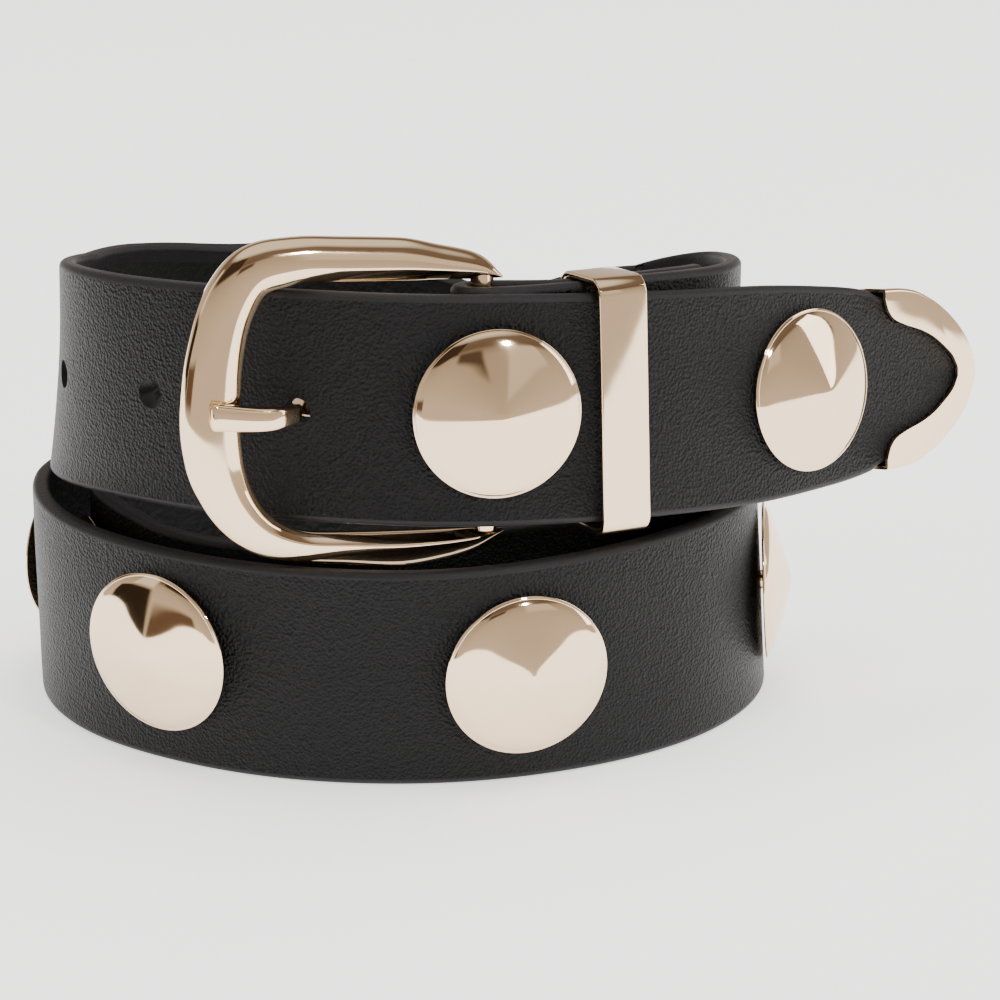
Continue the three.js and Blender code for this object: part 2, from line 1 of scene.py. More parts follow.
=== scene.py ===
"""A fastened, coiled leather belt with domed studs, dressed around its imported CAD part."""

import math

import bmesh
import bpy
import numpy as np
from mathutils import Matrix, Vector


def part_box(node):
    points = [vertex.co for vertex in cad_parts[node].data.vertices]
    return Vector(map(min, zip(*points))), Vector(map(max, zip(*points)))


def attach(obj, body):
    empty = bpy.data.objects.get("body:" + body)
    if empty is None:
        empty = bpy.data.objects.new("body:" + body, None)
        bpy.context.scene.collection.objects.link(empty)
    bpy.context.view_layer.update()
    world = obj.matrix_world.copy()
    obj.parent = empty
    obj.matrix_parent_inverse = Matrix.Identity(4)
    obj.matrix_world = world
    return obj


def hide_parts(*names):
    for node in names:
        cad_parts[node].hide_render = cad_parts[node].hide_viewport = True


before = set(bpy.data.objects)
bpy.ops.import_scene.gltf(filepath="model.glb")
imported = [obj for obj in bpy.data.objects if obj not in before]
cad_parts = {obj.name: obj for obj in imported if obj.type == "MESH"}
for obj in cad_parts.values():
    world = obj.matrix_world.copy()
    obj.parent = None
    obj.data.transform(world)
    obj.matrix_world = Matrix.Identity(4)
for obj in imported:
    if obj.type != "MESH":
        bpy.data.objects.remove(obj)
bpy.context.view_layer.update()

MM = 0.001

# Strap, in millimetres, as in the CAD part
STRAP_WIDTH = 38
STRAP_THICKNESS = 3
EDGE_BEVEL = 0.6
PIECE_GAP = 0.3
FOLD_LENGTH = 44
COIL_HALF_WIDTH = 64.6
COIL_HALF_DEPTH = 53.5
BAR_TURN = 15
TAIL_TURN = BAR_TURN + 360 * 3
CAD_TURN_STEP = 8
SETTLE_LIFT = 0.15
TAIL_LENGTH = 104
TAIL_STRAIGHT = 24
TAIL_BEND = 31.5
TAIL_DROOP = 9.55
TAIL_LEAN = -8.5
DROOP_EASE = 1.25

# Studs and holes
STUD_RADIUS = 13.9
STUD_HEIGHT = 4.8
STUD_STANDOFF = 0.65
STUD_POST_RADIUS = 1.7
TIP_STUD_PLACE = 42
STUD_PITCH = 60.5
STUD_COUNT = 15
LAST_STUD_REACH = 102
HOLE_COUNT = 5
HOLE_PITCH = 27.2
HOLE_RADIUS = 2.4
HOLE_REACH = 32.5
HOLE_TO_STUD = 28.6
FIRST_HOLE_DROP = 0.7

# Buckle, prong, keeper and tip
BAR_RADIUS = 1.9
FRAME_REACH = 41.1
FRAME_OPENING = 42
FRAME_STROKE = 9.4
FRAME_THICKNESS = 4.6
FRAME_RISE = 0.4
FRAME_STANDOFF = 4
PRONG_WIDTH = 4.5
PRONG_NECK = 3
PRONG_THICKNESS = 2
PRONG_OVERHANG = 5.4
PRONG_RING = 1.4
PRONG_RISE = 1.15
KEEPER_REACH = 21.5
KEEPER_BAND = 8.7
KEEPER_WALL = 1
KEEPER_CORNER = 3
KEEPER_TILT = 3.7
KEEPER_SLACK = 1.3
KEEPER_RISE = 0.5
CAP_LENGTH = 24.8
CAP_SHARE = 0.829
CAP_WALL = 0.6
CAP_BACK_EXTRA = 2.4
CAP_BEYOND = 3

CAP_HEIGHT = CAP_SHARE * STRAP_WIDTH
LAYER_ROOM = STRAP_THICKNESS + PIECE_GAP
DOME_ROOM = STUD_STANDOFF + STUD_HEIGHT + PIECE_GAP

# Turn, layers outside, domes outside, lift of the lower edge, lean outward in degrees
COIL_ROWS = np.array([
    (15, 1.28, 0, 1.157, -4.8),
    (36, 1.2, 0, 1.15, -4.8),
    (62, 1.15, 0, 1.103, -1.5),
    (90, 2.4, 0, 1.02, 1.5),
    (98, 3.0, 0, 0.975, 1),
    (105, 3.7, 0, 0.925, -2),
    (120, 5.25, 0, 0.86, 0),
    (135, 6.85, 0, 0.75, 2),
    (150, 8.3, 0, 0.63, 0),
    (180, 9.7, 0, 0.4, -3),
    (210, 8.5, 0, 0.2, -3),
    (240, 5.5, 0, 0.05, -1),
    (264, 3.5, 0, 0, 0),
    (292, 1, 1.2, 0, 0),
    (304, 1, 1.1, 0, 0),
    (316, 1, 0.95, 0, 2),
    (327, 1.05, 0.9, 0, 3),
    (337, 1, 1.1, 0, 3),
    (348, 1, 1.55, 0, 3),
    (360, 1, 2.05, 0, 2),
    (372, 1, 2.45, 0, 1.5),
    (385, 1, 2.6, 0, 1),
    (412, 1, 2, 0, 0),
    (430, 1, 1.2, 0, 0),
    (452, 1, 0.5, 0, 0),
    (465, 1, 0.7, 0, 0),
    (474, 1, 1.05, 0, 0),
    (485, 1, 1.6, 0, 0),
    (495, 1, 1.75, 0, 0),
    (515, 1, 1.65, 0, 0),
    (540, 1, 1.2, 0, 0),
    (580, 0.9, 0.6, 0, 0),
    (606, 0.5, 0.15, 0, 0),
    (630, 0.16, 0, 0, 0.7),
    (675, 0.18, 0, 0, 3),
    (720, -0.06, 0, 0, 5.1),
    (765, 0.25, 0, 0, -0.6),
    (810, 0.1, 0, 0, -3.3),
    (832, 0, 0, 0.06, -6),
    (860, 0, 0, 0.35, -12),
    (890, 0, 0, 0.68, -20),
    (915, 0.05, 0, 0.94, -27),
    (935, 0.02, 0, 1.013, -26),
    (962, 0.2, 0, 1.02, -17.5),
    (990, 0.92, 0, 1.046, -9.7),
    (1035, 0.8, 0, 1.148, 0.6),
    (1065, 0.19, 0, 1.178, -2.4),
    (1095, 0.19, 0, 1.152, -4.2),
])

# Share of the free end's length, share of the strap's width
TAIL_ROWS = np.array([
    (0, 1),
    (0.45, 0.975),
    (0.66, 0.905),
    (0.765, 0.828),
    (0.785, 0.776),
    (0.85, 0.72),
    (0.88, 0.665),
    (0.93, 0.555),
    (0.97, 0.4),
    (1, 0.2),
])

# Spacing of the studs placed one by one as a share of the pitch, and rise as a share of the width
STUD_PLACE_ROWS = [(0.94, 0), (0.94, 0), (1.118, 0), (1.05, 0.028), (1.13, 0)]

# Buckle opening: reach, rise, stroke
FRAME_ROWS = np.array([
    (-0.07, 0.94, 0.09),
    (-0.03, 0.94, 0.3),
    (0.03, 0.942, 0.45),
    (0.17, 0.955, 0.58),
    (0.34, 0.965, 0.72),
    (0.58, 0.985, 0.75),
    (0.7, 0.995, 0.765),
    (0.8, 0.97, 0.82),
    (0.872, 0.935, 0.85),
    (0.93, 0.775, 0.905),
    (0.965, 0.58, 0.92),
    (0.99, 0.28, 0.97),
    (1, -0.06, 1),
    (0.993, -0.32, 0.97),
    (0.965, -0.55, 0.88),
    (0.9, -0.77, 0.76),
    (0.83, -0.88, 0.65),
    (0.72, -0.96, 0.54),
    (0.58, -0.985, 0.56),
    (0.36, -1.01, 0.62),
    (0.17, -1.025, 0.52),
    (0.05, -1.03, 0.38),
    (-0.03, -1.032, 0.17),
    (-0.06, -1.032, 0.07),
])

# Metal tip and its scalloped front: share of length, share of half height
CAP_ROWS = np.array([
    (0, 1),
    (0.12, 0.998),
    (0.29, 0.97),
    (0.51, 0.85),
    (0.71, 0.665),
    (0.867, 0.445),
    (0.963, 0.22),
    (1, 0.06),
])
SCALLOP_ROWS = np.array([
    (0, 0.885),
    (0.033, 0.76),
    (0.09, 0.665),
    (0.22, 0.585),
    (0.38, 0.515),
    (0.52, 0.425),
    (0.65, 0.295),
    (0.74, 0.18),
    (0.79, 0.05),
])


def smoothstep(value, low, high):
    t = np.clip((value - low) / (high - low), 0, 1)
    return t * t * (3 - 2 * t)


def unit(vectors):
    return vectors / np.linalg.norm(vectors, axis=-1, keepdims=True)


def read_table(rows, column, places, key=0):
    """Smooth readings of one column at the given places, without overshoot."""
    x, y = rows[:, key], rows[:, column]
    step, slope = np.diff(x), np.diff(y) / np.diff(x)
    product = slope[:-1] * slope[1:]
    total = np.where(product > 0, slope[:-1] + slope[1:], 1)
    tangent = np.concatenate([slope[:1], np.where(product > 0, 2 * product / total, 0), slope[-1:]])
    held = np.clip(places, x[0], x[-1])
    found = np.clip(np.searchsorted(x, held) - 1, 0, len(step) - 1)
    t = (held - x[found]) / step[found]
    rise = t * t * (3 - 2 * t)
    start = t * (1 - t) ** 2 * step[found] * tangent[found]
    end = t * t * (t - 1) * step[found] * tangent[found + 1]
    return y[found] * (1 - rise) + y[found + 1] * rise + start + end


def coil_points(turns):
    """The strap's lower outer edge at each turn of the coil."""
    angle = np.radians(turns)
    normal = np.stack([COIL_HALF_DEPTH * np.sin(angle), -COIL_HALF_WIDTH * np.cos(angle), 0 * angle], -1)
    inset = read_table(COIL_ROWS, 1, turns) * LAYER_ROOM + read_table(COIL_ROWS, 2, turns) * DOME_ROOM
    points = np.stack([COIL_HALF_WIDTH * np.sin(angle), -COIL_HALF_DEPTH * np.cos(angle), 0 * angle], -1)
    points -= unit(normal) * inset[:, None]
    points[:, 2] = read_table(COIL_ROWS, 3, turns) * STRAP_WIDTH
    return points


def stations(points, along, lean, width, level):
    """Places along the strap: lower outer edge, and the directions along, across and out of its face."""
    up = np.array([0.0, 0.0, 1.0])
    lean = np.radians(lean)[:, None]
    level = np.asarray(level)[:, None]
    side = unit(np.cross(along, up))
    rise = np.cross(side, along)
    across = rise * np.cos(lean) + side * np.sin(lean)
    out = (side * np.cos(lean) - rise * np.sin(lean)) * (1 - level) + side * level / np.cos(lean)
    return {"point": points, "along": along, "across": across, "out": out, "width": width}


def coil_stations(step):
    turns = np.arange(BAR_TURN, TAIL_TURN + step / 2, step)
    points = coil_points(turns)
    along = unit(coil_points(turns + 1) - coil_points(turns - 1))
    level = 1 - smoothstep(points[:, 2] / STRAP_WIDTH, 0, SETTLE_LIFT)
    lean = read_table(COIL_ROWS, 4, turns)
    return stations(points, along, lean, np.full(len(turns), float(STRAP_WIDTH)), level)


def tail_stations(last_point, last_along, count):
    """The free end: its bend eases to nothing, and it narrows and droops."""
    bent = TAIL_LENGTH - TAIL_STRAIGHT
    step = TAIL_LENGTH / count
    start = math.atan2(last_along[1], last_along[0])

    def held(run):
        return np.minimum(run / bent, 1)

    def heading(run):
        return start + math.radians(TAIL_BEND) * (1 - (1 - held(run)) ** 2)

    def sink(run):
        return TAIL_DROOP * (run / TAIL_LENGTH) ** DROOP_EASE

    run = np.arange(1, count + 1) * step
    middle = heading(run - step / 2)
    plan = last_point[:2] + np.cumsum(np.stack([np.cos(middle), np.sin(middle)], -1) * step, 0)
    width = STRAP_WIDTH * read_table(TAIL_ROWS, 1, run / TAIL_LENGTH)
    level = last_point[2] - sink(run)
    slope = (sink(run + 0.5) - sink(run - 0.5))
    along = unit(np.stack([np.cos(heading(run)), np.sin(heading(run)), -slope], -1))
    first_lean = COIL_ROWS[-1, 4]
    lean = first_lean + (TAIL_LEAN - first_lean) * held(run) ** 2
    places = stations(np.column_stack([plan, level]), along, lean, width, np.zeros(count))
    places["point"] = places["point"] + places["across"] * ((STRAP_WIDTH - width) / 2)[:, None]
    return places


def fold_stations(coil, sides):
    """The strap's end folded round the bar, from its inner end to the coil's first station."""
    bend = BAR_RADIUS + PIECE_GAP + STRAP_THICKNESS
    keeper_start = KEEPER_REACH - KEEPER_BAND / 2
    steps = np.linalg.norm(np.diff(coil["point"], axis=0), axis=1)
    run = np.concatenate([[0], np.cumsum(steps)])
    chosen = np.arange(1, np.argmax(run >= FOLD_LENGTH) + 1)[::-1]
    spread = 1 - smoothstep(run[chosen], 0, keeper_start)
    flat = 2 * STRAP_THICKNESS + PIECE_GAP
    depth = flat + (2 * bend - flat) * spread
    layer = {
        "point": coil["point"][chosen] - coil["out"][chosen] * depth[:, None],
        "along": -coil["along"][chosen],
        "across": coil["across"][chosen],
        "out": -coil["out"][chosen],
        "width": coil["width"][chosen],
    }
    out0, along0 = coil["out"][0], coil["along"][0]
    centre = coil["point"][0] - out0 * bend
    angle = (math.pi * (1 - np.arange(sides) / sides))[:, None]
    out = out0 * np.cos(angle) - along0 * np.sin(angle)
    turn = {
        "point": centre + out * bend,
        "along": along0 * np.cos(angle) + out0 * np.sin(angle),
        "across": np.repeat(coil["across"][:1], sides, 0),
        "out": out,
        "width": np.full(sides, float(STRAP_WIDTH)),
    }
    return join(layer, turn)


def join(*parts):
    return {key: np.concatenate([part[key] for part in parts]) for key in parts[0]}


# The CAD part's own stations give the frame of axes for the studs, holes and fittings.
coarse_coil = coil_stations(2)
coarse_tail = tail_stations(coarse_coil["point"][-1], coarse_coil["along"][-1], 47)
guide = join(coarse_coil, coarse_tail)
guide_middle = guide["point"] + guide["across"] * guide["width"][:, None] / 2
guide_steps = np.linalg.norm(np.diff(guide_middle, axis=0), axis=1)
guide_place = np.concatenate([np.cumsum(guide_steps[::-1])[::-1], [0]])
BAR_PLACE = guide_place[len(coarse_coil["point"]) - 1]
KEEPER_PLACE = BAR_PLACE - KEEPER_REACH
FIRST_HOLE_PLACE = BAR_PLACE + HOLE_REACH


def strap_at(place):
    """Origin and axes (along, across, out) on the strap's outer face, measured from the leather's point."""
    i = max(int(np.argmax(guide_place <= place)) - 1, 0)
    t = (guide_place[i] - place) / (guide_place[i] - guide_place[i + 1])

    def mix(values):
        return values[i] * (1 - t) + values[i + 1] * t

    along, across = unit(mix(guide["along"])), unit(mix(guide["across"]))
    return mix(guide_middle), along, across, unit(np.cross(along, across))


def seat(origin, along, across, out, depth=0.0, rise=0.0):
    """A matrix from local axes (x along, y across, z out), in millimetres, to the belt's own axes."""
    matrix = np.eye(4)
    matrix[:3, 0], matrix[:3, 1], matrix[:3, 2] = along, across, out
    matrix[:3, 3] = origin + out * depth + across * rise
    return matrix


def to_mesh(name, points, faces, matrix=None, smooth=True):
    """A mesh object from points in millimetres, in the belt's own axes or moved there by a matrix."""
    points = np.asarray(points, float)
    if matrix is not None:
        points = points @ matrix[:3, :3].T + matrix[:3, 3]
    mesh = bpy.data.meshes.new(name)
    mesh.from_pydata(((points - SHIFT) * MM).tolist(), [], faces)
    mesh.validate()
    mesh.update()
    if smooth:
        mesh.shade_smooth()
    piece = bpy.data.objects.new(name, mesh)
    bpy.context.scene.collection.objects.link(piece)
    return piece


def sweep_faces(rings, count, closed=False):
    """Quads between rings of equal point count, with flat ends unless the sweep closes on itself."""
    faces = []
    for i in range(rings if closed else rings - 1):
        here, there = i * count, ((i + 1) % rings) * count
        for j in range(count):
            k = (j + 1) % count
            faces.append((here + j, there + j, there + k, here + k))
    if not closed:
        faces.append(tuple(range(count)))
        faces.append(tuple((rings - 1) * count + j for j in reversed(range(count))))
    return faces


def cut(piece, cutters):
    """Cuts the given bodies out of a piece and removes them."""
    for cutter in cutters:
        modifier = piece.modifiers.new("cut", "BOOLEAN")
        modifier.operation = "DIFFERENCE"
        modifier.solver = "MANIFOLD"
        modifier.object = cutter
    bpy.context.view_layer.update()
    evaluated = piece.evaluated_get(bpy.context.evaluated_depsgraph_get())
    mesh = bpy.data.meshes.new_from_object(evaluated)
    piece.modifiers.clear()
    old = piece.data
    piece.data = mesh
    bpy.data.meshes.remove(old)
    mesh.name = piece.name
    for cutter in cutters:
        bpy.data.objects.remove(cutter)


def strap_corners(places):
    """The CAD section's corners at each place: its box gives where the CAD part put its origin."""
    t, e, w = STRAP_THICKNESS, EDGE_BEVEL, places["width"][:, None]
    depth = np.array([-e, 0, 0, -e, e - t, -t, -t, e - t])
    share = np.array([0, 0, 1, 1, 1, 1, 0, 0])
    extra = np.array([0, e, -e, 0, 0, -e, e, 0])
    rise = share * w + extra
    return (places["point"][:, None] + places["out"][:, None] * depth[None, :, None]
            + places["across"][:, None] * rise[..., None])


cad_stride = CAD_TURN_STEP // 2
cad_coil = {key: value[::cad_stride] for key, value in coarse_coil.items()}
strap_low = np.array(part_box("strap")[0])
SHIFT = np.zeros(3)
corner_low = strap_corners(cad_coil).reshape(-1, 3).min(0)
SHIFT[:2] = corner_low[:2] - strap_low[:2] / MM


def arc(cx, cy, radius, start, end, count):
    angle = np.radians(np.linspace(start, end, count))
    return np.stack([cx + radius * np.cos(angle), cy + radius * np.sin(angle)], -1)


# The leather's section: depth below the outer face, and share of the width with an extra rise
OUTER_ROUND = 1.1
INNER_ROUND = 0.9
FACE_POINTS = 20


def strap_section():
    """Depths, width shares, extra rises and surface kinds (0 outer, 1 edge, 2 inner) of the section."""
    t = STRAP_THICKNESS
    rows = []
    for share in np.linspace(0, 1, FACE_POINTS):
        rows.append((0.0, share, OUTER_ROUND * (1 - 2 * share), 0))
    for x, y in arc(-OUTER_ROUND, -OUTER_ROUND, OUTER_ROUND, 0, 90, 6)[1:]:
        rows.append((x, 1.0, y, 1))
    for x, y in arc(-t + INNER_ROUND, -INNER_ROUND, INNER_ROUND, 90, 180, 6):
        rows.append((x, 1.0, y, 1))
    for share in np.linspace(1, 0, FACE_POINTS)[1:]:
        rows.append((-t, share, INNER_ROUND * (1 - 2 * share), 2))
    for x, y in arc(-t + INNER_ROUND, INNER_ROUND, INNER_ROUND, 180, 270, 6)[1:]:
        rows.append((x, 0.0, y, 1))
    for x, y in arc(-OUTER_ROUND, OUTER_ROUND, OUTER_ROUND, 270, 360, 6)[:-1]:
        rows.append((x, 0.0, y, 1))
    return np.array(rows)


def ripple(run, rise):
    """The leather's own slight unevenness, in millimetres."""
    wave = 0.05 * np.sin(run / 9.3 + rise / 11.0) + 0.045 * np.sin(run / 5.7 - rise / 7.0 + 1.3)
    return wave + 0.04 * np.sin(run / 23.0 + rise / 4.1 + 0.6)


def make_strap():
    coil = coil_stations(1.25)
    tail = tail_stations(coil["point"][-1], coil["along"][-1], 94)
    places = join(fold_stations(coil, 14), coil, tail)
    section = strap_section()
    depth, share, extra, kind = section.T
    rings = len(places["point"])
    run = np.concatenate([[0], np.cumsum(np.linalg.norm(np.diff(places["point"], axis=0), axis=1))])
    width = places["width"][:, None]
    rise = share * width + extra
    fine = ripple(run[:, None], rise)
    outward = np.where(kind == 2, 0.6, 1.0) * fine
    settle = smoothstep(places["point"][:, 2], 0.0, 4.0)[:, None]
    rise = rise + 0.12 * np.sin(run / 31.0)[:, None] * settle
    points = (places["point"][:, None] + places["out"][:, None] * (depth + outward)[..., None]
              + places["across"][:, None] * rise[..., None])
    faces = sweep_faces(rings, len(section))
    piece = to_mesh("belt_strap", points.reshape(-1, 3), faces)
    nxt = np.roll(kind, -1)
    quad = np.where(kind == nxt, kind, 1)
    kinds = np.concatenate([np.tile(quad, rings - 1), [1, 1]]).astype(np.int32)
    for material in (LEATHER, LEATHER_EDGE, LEATHER_BACK):
        piece.data.materials.append(material)
    piece.data.polygons.foreach_set("material_index", kinds)
    drops = [FIRST_HOLE_DROP] + [0.0] * (HOLE_COUNT - 1)
    cutters = [hole_cutter(FIRST_HOLE_PLACE + i * HOLE_PITCH, -drop) for i, drop in enumerate(drops)]
    cutters.append(slot_cutter())
    cut(piece, cutters)
    piece.data.set_sharp_from_angle(angle=math.radians(50))
    return piece


def tube_points(radius, low, high, sides):
    angle = np.arange(sides) * 2 * math.pi / sides
    ring = np.stack([radius * np.cos(angle), radius * np.sin(angle)], -1)
    return np.concatenate([np.column_stack([ring, np.full(sides, level)]) for level in (low, high)])


def hole_cutter(place, rise):
    points = tube_points(HOLE_RADIUS, -STRAP_THICKNESS - 0.6, 0.6, 28)
    faces = [tuple(reversed(face)) for face in sweep_faces(2, 28)]
    cutter = to_mesh("cutter", points, faces, seat(*strap_at(place), rise=rise))
    mark_cutter(cutter)
    return cutter


def mark_cutter(cutter):
    for material in (LEATHER, LEATHER_EDGE, LEATHER_BACK):
        cutter.data.materials.append(material)
    cutter.data.polygons.foreach_set("material_index", [1] * len(cutter.data.polygons))


def slot_cutter():
    bend = BAR_RADIUS + PIECE_GAP + STRAP_THICKNESS
    half = np.array([bend + PIECE_GAP, PRONG_WIDTH / 2 + 2 * PIECE_GAP, bend + PIECE_GAP / 2])
    signs = [(-1, -1), (1, -1), (1, 1), (-1, 1)]
    points = [(x * half[0], y * half[1], z * half[2]) for z in (-1, 1) for x, y in signs]
    faces = [tuple(reversed(face)) for face in sweep_faces(2, 4)]
    cutter = to_mesh("cutter", points, faces, BUCKLE)
    mark_cutter(cutter)
    return cutter


def buckle_seat():
    """The buckle's axes: its origin on the bar's centre, x towards the tip, y up the bar, z outward."""
    point, across, out0 = coarse_coil["point"][0], coarse_coil["across"][0], coarse_coil["out"][0]
    middle = point + across * STRAP_WIDTH / 2
    centre = middle - out0 * (STRAP_THICKNESS + PIECE_GAP + BAR_RADIUS)
    origin, _, _, out = strap_at(BAR_PLACE + FRAME_REACH)
    left = origin + out * (FRAME_STANDOFF + FRAME_THICKNESS / 2)
    along = centre - left
    along = unit(along - across * np.dot(along, across))
    return seat(centre, along, across, unit(np.cross(along, across)))


BUCKLE = buckle_seat()


def stud_places():
    """Distances of the studs back from the leather's point, and their rise over the strap's middle."""
    studs = [(TIP_STUD_PLACE, 0.0), (BAR_PLACE, 0.0)]
    place = FIRST_HOLE_PLACE + (HOLE_COUNT - 1) * HOLE_PITCH + HOLE_TO_STUD
    studs.append((place, 0.0))
    for spacing, rise in STUD_PLACE_ROWS:
        place += spacing * STUD_PITCH
        studs.append((place, rise * STRAP_WIDTH))
    rest = STUD_COUNT - len(studs)
    spacing = (guide_place[0] - LAST_STUD_REACH - place) / rest
    return studs + [(place + (i + 1) * spacing, 0.0) for i in range(rest)]


def turned(name, profile, sides, matrix):
    """A body turned about z from (radius, height) points that start and end on the axis."""
    profile = np.asarray(profile, float)
    angle = np.arange(sides) * 2 * math.pi / sides
    points = [[0, 0, profile[0][1]]]
    for radius, height in profile[1:-1]:
        level = np.full(sides, height)
        points.extend(np.column_stack([radius * np.cos(angle), radius * np.sin(angle), level]))
    points.append([0, 0, profile[-1][1]])
    faces = [(0, 1 + (j + 1) % sides, 1 + j) for j in range(sides)]
    rings = len(profile) - 2
    for i in range(rings - 1):
        here, there = 1 + i * sides, 1 + (i + 1) * sides
        for j in range(sides):
            k = (j + 1) % sides
            faces.append((here + j, here + k, there + k, there + j))
    last = 1 + rings * sides
    faces.extend((last, last - sides + j, last - sides + (j + 1) % sides) for j in range(sides))
    return to_mesh(name, points, faces, matrix)


STUD_FACETS = 128
STUD_ROWS = np.array([
    (0.0, 1.0),
    (0.05, 0.988),
    (0.14, 0.93),
    (0.34, 0.775),
    (0.63, 0.5),
    (0.86, 0.25),
    (0.95, 0.12),
    (0.985, 0.05),
    (1.0, 0.0),
])


def make_stud(place, rise, number):
    base, top = STUD_STANDOFF, STUD_STANDOFF + STUD_HEIGHT
    lip = 0.24
    level = base + 0.9
    dome_radius = STUD_RADIUS - 2 * lip
    profile = [(0, -STRAP_THICKNESS), (STUD_POST_RADIUS - 0.2, -STRAP_THICKNESS),
               (STUD_POST_RADIUS, -STRAP_THICKNESS + 0.2), (STUD_POST_RADIUS, base),
                (STUD_RADIUS - 0.2, base)]
    profile += [tuple(p) for p in arc(STUD_RADIUS - lip, base + lip, lip, -60, 90, 7)]
    profile += [(dome_radius + 0.1, level - 0.3)]
    shares = np.linspace(1, 0, 26)
    heights = read_table(STUD_ROWS, 1, shares)
    profile += [(dome_radius * s, level - 0.3 + (top - level + 0.3) * h) for s, h in zip(shares, heights)]
    piece = turned(f"belt_stud_{number:02d}", profile, STUD_FACETS, seat(*strap_at(place), rise=rise))
    piece.data.set_sharp_from_angle(angle=math.radians(35))
    return piece


def frame_curve(count):
    """The frame's inner line, in the bar's axes, with its outward direction and stroke."""
    steps = np.linspace(0, 1, len(FRAME_ROWS))
    rows = np.column_stack([steps, FRAME_ROWS])

    def inner(s):
        reach = read_table(rows, 1, s)
        rise = read_table(rows, 2, s)
        return np.stack([-FRAME_REACH * reach, FRAME_RISE + FRAME_OPENING / 2 * rise], -1)

    s = np.linspace(0, 1, count)
    nudge = 0.006
    along = unit(inner(np.minimum(s + nudge, 1)) - inner(np.maximum(s - nudge, 0)))
    outward = np.stack([along[:, 1], -along[:, 0]], -1)
    return inner(s), outward, FRAME_STROKE * read_table(rows, 3, s)


# The frame's section: share of the stroke from the inner edge, and share of the thickness
FRAME_SECTION = np.array([
    (0.03, -0.47), (0.1, -0.5), (0.9, -0.5), (0.97, -0.46), (1.0, -0.36), (1.0, -0.12), (0.985, 0.0),
    (0.94, 0.12), (0.87, 0.23), (0.78, 0.33), (0.66, 0.41), (0.52, 0.465), (0.38, 0.495), (0.3, 0.5),
    (0.27, 0.485), (0.14, 0.345), (0.03, 0.23), (0.0, 0.18), (0.0, -0.4),
])


def make_frame():
    line, outward, stroke = frame_curve(260)
    points = []
    for start, out, wide in zip(line, outward, stroke):
        across = start + out * (FRAME_SECTION[:, :1] * wide)
        points.extend(np.column_stack([across, FRAME_SECTION[:, 1] * FRAME_THICKNESS]))
    faces = sweep_faces(len(line), len(FRAME_SECTION))
    piece = to_mesh("belt_buckle_frame", points, faces, BUCKLE)
    half = FRAME_OPENING / 2 + 0.9
    bar = tube_points(BAR_RADIUS, -half, half, 32)
    bar = np.column_stack([bar[:, 1], bar[:, 2] + FRAME_RISE, bar[:, 0]])
    rod = to_mesh("bar", bar, sweep_faces(2, 32), BUCKLE)
    merge(piece, rod)
    piece.data.set_sharp_from_angle(angle=math.radians(38))
    return piece


def flip_if_inside_out(piece):
    bm = bmesh.new()
    bm.from_mesh(piece.data)
    if bm.calc_volume(signed=True) < 0:
        bmesh.ops.reverse_faces(bm, faces=bm.faces)
        bm.to_mesh(piece.data)
    bm.free()


def merge(piece, other):
    """Joins two overlapping bodies into one skin."""
    for each in (piece, other):
        flip_if_inside_out(each)
    modifier = piece.modifiers.new("join", "BOOLEAN")
    modifier.operation = "UNION"
    modifier.solver = "MANIFOLD"
    modifier.object = other
    bpy.context.view_layer.update()
    mesh = bpy.data.meshes.new_from_object(piece.evaluated_get(bpy.context.evaluated_depsgraph_get()))
    piece.modifiers.clear()
    piece.data = mesh
    mesh.name = piece.name
    bpy.data.objects.remove(other)


def round_section(width, thickness, radius, crown, count):
    """A rounded rectangle's points (across, out), its top raised in the middle by the crown."""
    half_w, half_t = width / 2, thickness / 2
    points = []
    for cx, cy, start in ((1, -1, 270), (1, 1, 0), (-1, 1, 90), (-1, -1, 180)):
        points.extend(arc(cx * (half_w - radius), cy * (half_t - radius), radius, start, start + 90, count))
    points = np.array(points)
    top = points[:, 1] > 0
    points[top, 1] += crown * (1 - (points[top, 0] / half_w) ** 2)
    return points


def sweep_along(name, path, sections, normals, side, matrix, closed=False):
    """A body swept along a path. Section points are (across, out), in the side and normal directions."""
    points = []
    for point, section, normal in zip(path, sections, normals):
        points.extend(point + section[:, :1] * side + section[:, 1:] * normal)
    piece = to_mesh(name, points, sweep_faces(len(path), len(sections[0]), closed), matrix)
    flip_if_inside_out(piece)
    return piece


